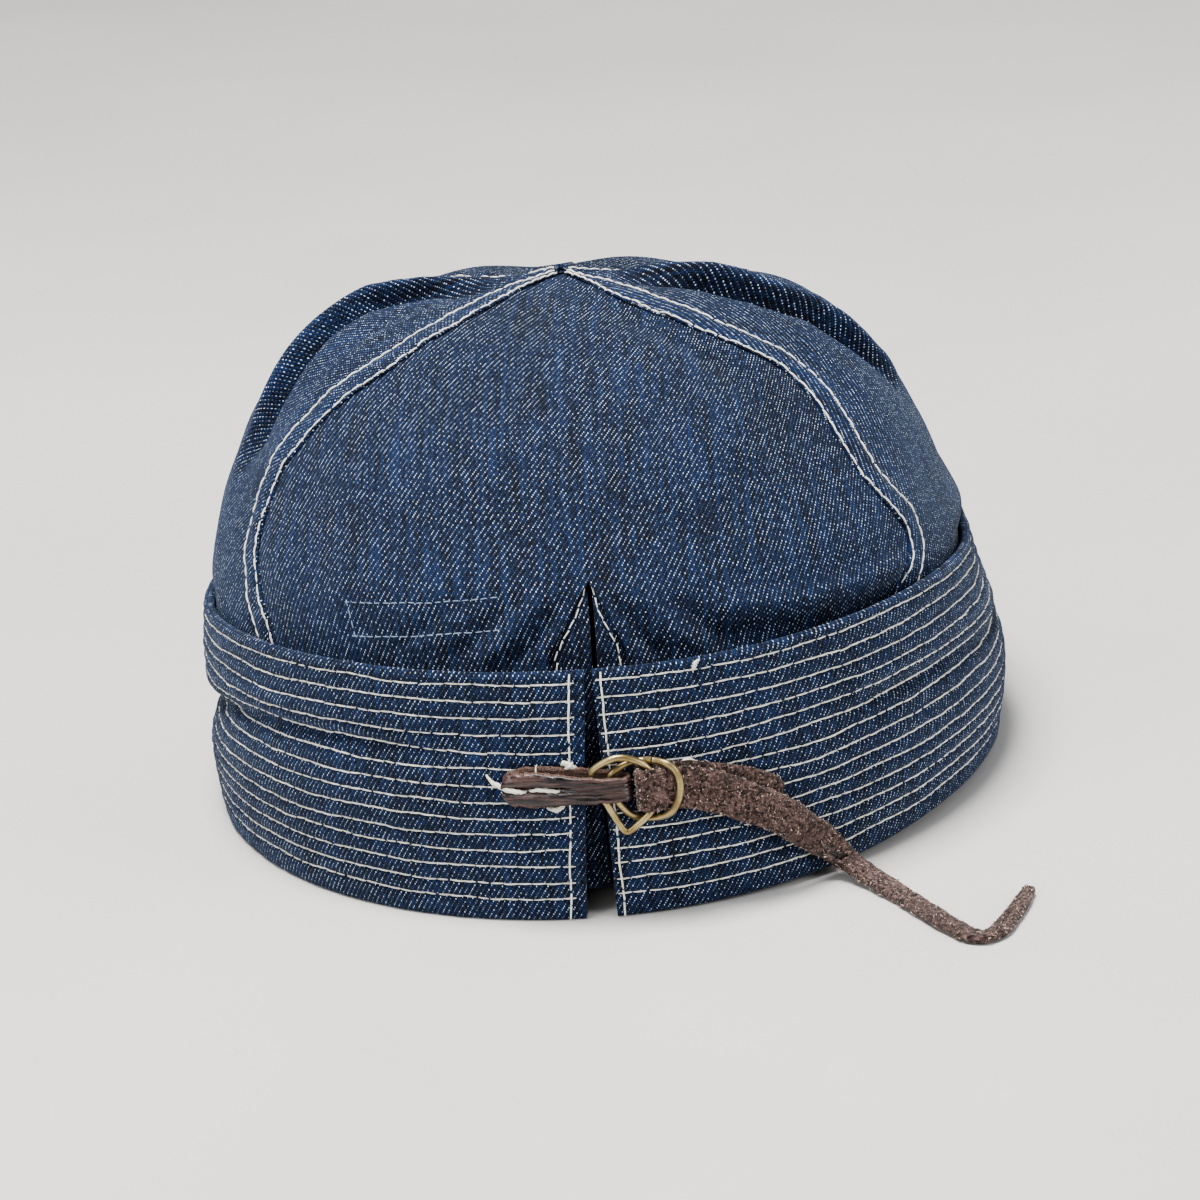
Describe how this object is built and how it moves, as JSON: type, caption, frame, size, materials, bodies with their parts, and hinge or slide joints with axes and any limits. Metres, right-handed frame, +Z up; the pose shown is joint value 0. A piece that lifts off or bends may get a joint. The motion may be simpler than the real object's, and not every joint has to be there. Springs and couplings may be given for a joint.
{
  "type": "sailor cap",
  "caption": "Soft close-fitting denim sailor cap with a panelled domed crown, a row-stitched turned-up band, and a back vent closed by a leather tab, D rings and a strap.",
  "frame": {"origin": "on the plane the rim stands on, under the middle of the part's bounding box", "axes": "+Z up through the crown, +Y towards the brow, -Y towards the vent and its closure, +X to the side that the strap's free end runs to"},
  "size_m": [0.1824, 0.2372, 0.1145],
  "materials": {
    "crown_panel_back": "indigo twill denim",
    "crown_panel_left": "indigo twill denim",
    "crown_panel_right": "indigo twill denim",
    "crown_panel_front": "indigo twill denim",
    "vent_facing_left": "indigo twill denim",
    "vent_facing_right": "indigo twill denim",
    "band": "indigo twill denim with rows of pale stitching",
    "loop_tab": "oiled, dark brown",
    "d_ring_outer": "aged brass wire",
    "d_ring_inner": "aged brass wire",
    "strap": "rough split leather, flesh side out"
  },
  "bodies": {
    "root": {"crown_panel_back": "crown_panel_back", "crown_panel_left": "crown_panel_left", "crown_panel_right": "crown_panel_right", "crown_panel_front": "crown_panel_front", "vent_facing_left": "vent_facing_left", "vent_facing_right": "vent_facing_right", "band": "band", "loop_tab": "loop_tab", "d_ring_outer": "d_ring_outer", "d_ring_inner": "d_ring_inner", "strap": "strap"}
  },
  "joints": []
}
